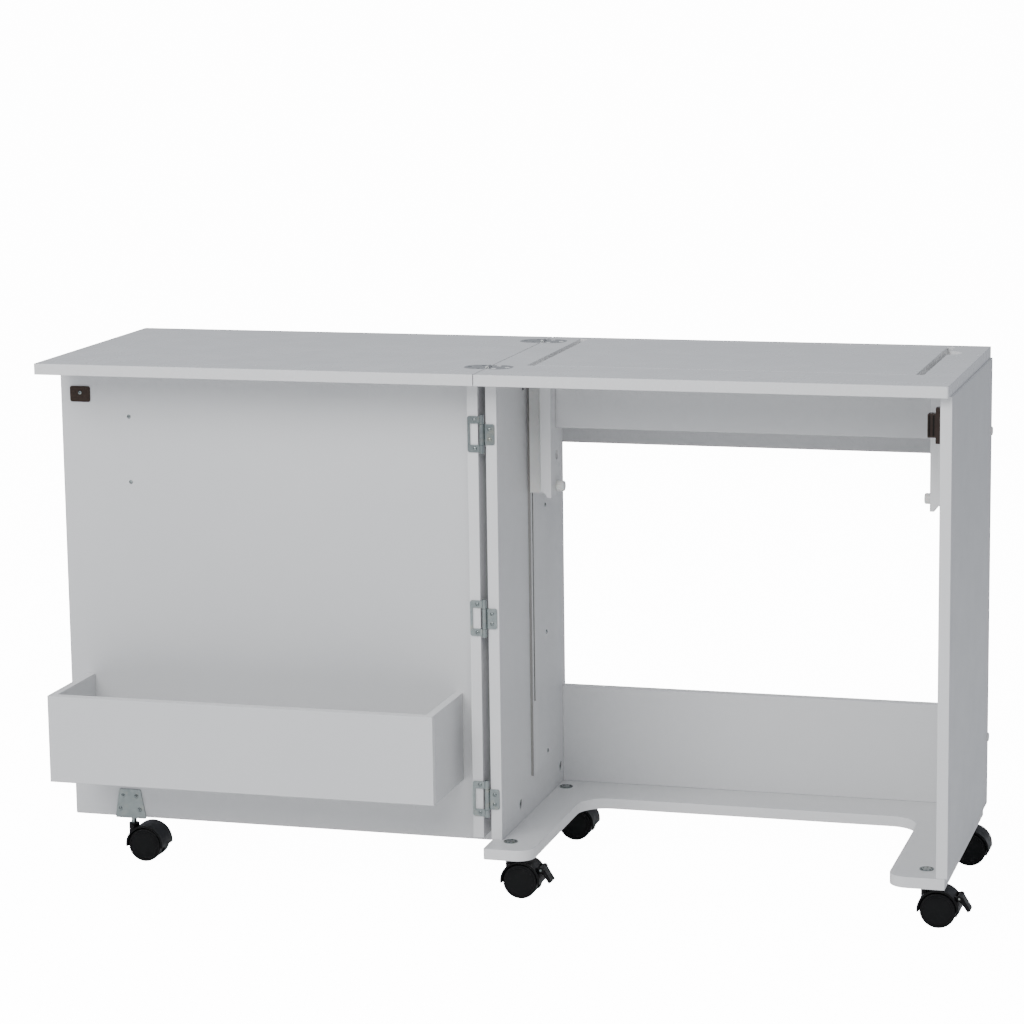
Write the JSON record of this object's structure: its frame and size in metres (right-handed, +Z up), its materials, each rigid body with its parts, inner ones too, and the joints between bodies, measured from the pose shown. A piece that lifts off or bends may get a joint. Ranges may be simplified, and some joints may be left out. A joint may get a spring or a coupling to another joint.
{
  "type": "sewing table",
  "caption": "Rolling sewing table with a fold-over leaf, gate-leg storage door with bin, lift platform, kneehole and swivel casters.",
  "frame": {"origin": "centre of the bounding box on the floor, table open as used", "axes": "+X along the open table towards the cabinet, +Y to the back, +Z up"},
  "size_m": [1.3367, 0.464, 0.7547],
  "materials": {
    "white_melamine": "satin white melamine on particleboard",
    "white_hardboard": "white-faced hardboard",
    "zinc_steel": "zinc plated",
    "satin_nickel": "satin nickel",
    "white_nylon": "satin",
    "bronze_strike": "dark bronze lacquer",
    "brown_plastic": "satin",
    "black_nylon": "moulded",
    "black_wheel": "satin"
  },
  "bodies": {
    "caster_fl_swivel": {"caster_fl_hood": "black_nylon", "caster_fl_steel": "zinc_steel"},
    "caster_fl_wheel": {"caster_fl_wheels": "black_wheel"},
    "caster_fl_lever": {"caster_fl_brake": "black_nylon"},
    "caster_fr_swivel": {"caster_fr_hood": "black_nylon", "caster_fr_steel": "zinc_steel"},
    "caster_fr_wheel": {"caster_fr_wheels": "black_wheel"},
    "caster_fr_lever": {"caster_fr_brake": "black_nylon"},
    "caster_rl_swivel": {"caster_rl_hood": "black_nylon", "caster_rl_steel": "zinc_steel"},
    "caster_rl_wheel": {"caster_rl_wheels": "black_wheel"},
    "caster_rr_swivel": {"caster_rr_hood": "black_nylon", "caster_rr_steel": "zinc_steel"},
    "caster_rr_wheel": {"caster_rr_wheels": "black_wheel"},
    "caster_door_swivel": {"caster_door_hood": "black_nylon", "caster_door_steel": "zinc_steel"},
    "caster_door_wheel": {"caster_door_wheels": "black_wheel"},
    "leaf": {"leaf_top": "white_melamine", "top_hinge_leaf_plates": "satin_nickel", "top_hinge_leaf_screws": "zinc_steel", "top_hinge_pins": "zinc_steel"},
    "door": {"bin_floor": "white_melamine", "bin_front": "white_melamine", "bin_side_left": "white_melamine", "bin_side_right": "white_melamine", "door_caster_plate": "zinc_steel", "door_glides": "white_nylon", "door_handle": "satin_nickel", "door_hinge_large_leaves": "zinc_steel", "door_hinge_pins": "zinc_steel", "door_panel": "white_melamine", "door_screws": "zinc_steel", "door_side_board": "white_melamine", "strike_plate": "bronze_strike"},
    "lift": {"lift_apron": "white_melamine", "lift_cleat": "white_melamine", "lift_fittings": "zinc_steel", "lift_hanger_left": "white_melamine", "lift_hanger_right": "white_melamine", "lift_platform": "white_melamine", "lift_slide_blocks": "white_nylon"},
    "knob_left": {"clamp_knob_left": "white_nylon"},
    "knob_right": {"clamp_knob_right": "white_nylon"},
    "cabinet": {"base_board": "white_melamine", "cabinet_screws": "zinc_steel", "cam_discs": "zinc_steel", "caster_sockets": "zinc_steel", "catch_body": "brown_plastic", "catch_pole_plates": "zinc_steel", "door_hinge_small_leaves": "zinc_steel", "main_top": "white_melamine", "rear_lower_panel": "white_melamine", "rear_top_rail": "white_melamine", "screw_caps": "white_nylon", "side_panel_left": "white_melamine", "side_panel_right": "white_melamine", "top_hinge_main_plates": "satin_nickel", "track_boards": "white_hardboard"}
  },
  "joints": [
    {"name": "door_swing", "type": "hinge", "parent": "cabinet", "child": "door", "pos_m": [-0.01835, -0.1285, 0.398], "axis": [0, 0, 1], "range_deg": [0, 180]},
    {"name": "leaf_fold", "type": "hinge", "parent": "cabinet", "child": "leaf", "pos_m": [-0.0121, 0.021, 0.7522], "axis": [0, 1, 0], "range_deg": [0, 180]},
    {"name": "platform_lift", "type": "slide", "parent": "cabinet", "child": "lift", "axis": [0, 0, 1], "range_m": [-0.3, 0]},
    {"name": "knob_left_turn", "type": "hinge", "parent": "lift", "child": "knob_left", "pos_m": [0.04915, 0.042, 0.561], "axis": [1, 0, 0], "range_deg": [-180, 180]},
    {"name": "knob_right_turn", "type": "hinge", "parent": "lift", "child": "knob_right", "pos_m": [0.57915, 0.042, 0.561], "axis": [1, 0, 0], "range_deg": [-180, 180]},
    {"name": "caster_fl_turn", "type": "hinge", "parent": "cabinet", "child": "caster_fl_swivel", "pos_m": [0.01565, -0.129, 0.05], "axis": [0, 0, 1], "continuous": true},
    {"name": "caster_fl_roll", "type": "hinge", "parent": "caster_fl_swivel", "child": "caster_fl_wheel", "pos_m": [0.03365, -0.129, 0.025], "axis": [0, 1, 0], "continuous": true},
    {"name": "caster_fl_brake_press", "type": "hinge", "parent": "caster_fl_swivel", "child": "caster_fl_lever", "pos_m": [0.06225, -0.129, 0.0415], "axis": [0, 1, 0], "range_deg": [0, 12]},
    {"name": "caster_fr_turn", "type": "hinge", "parent": "cabinet", "child": "caster_fr_swivel", "pos_m": [0.60665, -0.129, 0.05], "axis": [0, 0, 1], "continuous": true},
    {"name": "caster_fr_roll", "type": "hinge", "parent": "caster_fr_swivel", "child": "caster_fr_wheel", "pos_m": [0.62465, -0.129, 0.025], "axis": [0, 1, 0], "continuous": true},
    {"name": "caster_fr_brake_press", "type": "hinge", "parent": "caster_fr_swivel", "child": "caster_fr_lever", "pos_m": [0.65325, -0.129, 0.0415], "axis": [0, 1, 0], "range_deg": [0, 12]},
    {"name": "caster_rl_turn", "type": "hinge", "parent": "cabinet", "child": "caster_rl_swivel", "pos_m": [0.01565, 0.178, 0.05], "axis": [0, 0, 1], "continuous": true},
    {"name": "caster_rl_roll", "type": "hinge", "parent": "caster_rl_swivel", "child": "caster_rl_wheel", "pos_m": [0.03365, 0.178, 0.025], "axis": [0, 1, 0], "continuous": true},
    {"name": "caster_rr_turn", "type": "hinge", "parent": "cabinet", "child": "caster_rr_swivel", "pos_m": [0.60665, 0.178, 0.05], "axis": [0, 0, 1], "continuous": true},
    {"name": "caster_rr_roll", "type": "hinge", "parent": "caster_rr_swivel", "child": "caster_rr_wheel", "pos_m": [0.62465, 0.178, 0.025], "axis": [0, 1, 0], "continuous": true},
    {"name": "caster_door_turn", "type": "hinge", "parent": "door", "child": "caster_door_swivel", "pos_m": [-0.57985, -0.0765, 0.05], "axis": [0, 0, 1], "continuous": true},
    {"name": "caster_door_roll", "type": "hinge", "parent": "caster_door_swivel", "child": "caster_door_wheel", "pos_m": [-0.55685, -0.0765, 0.025], "axis": [0, 1, 0], "continuous": true}
  ]
}
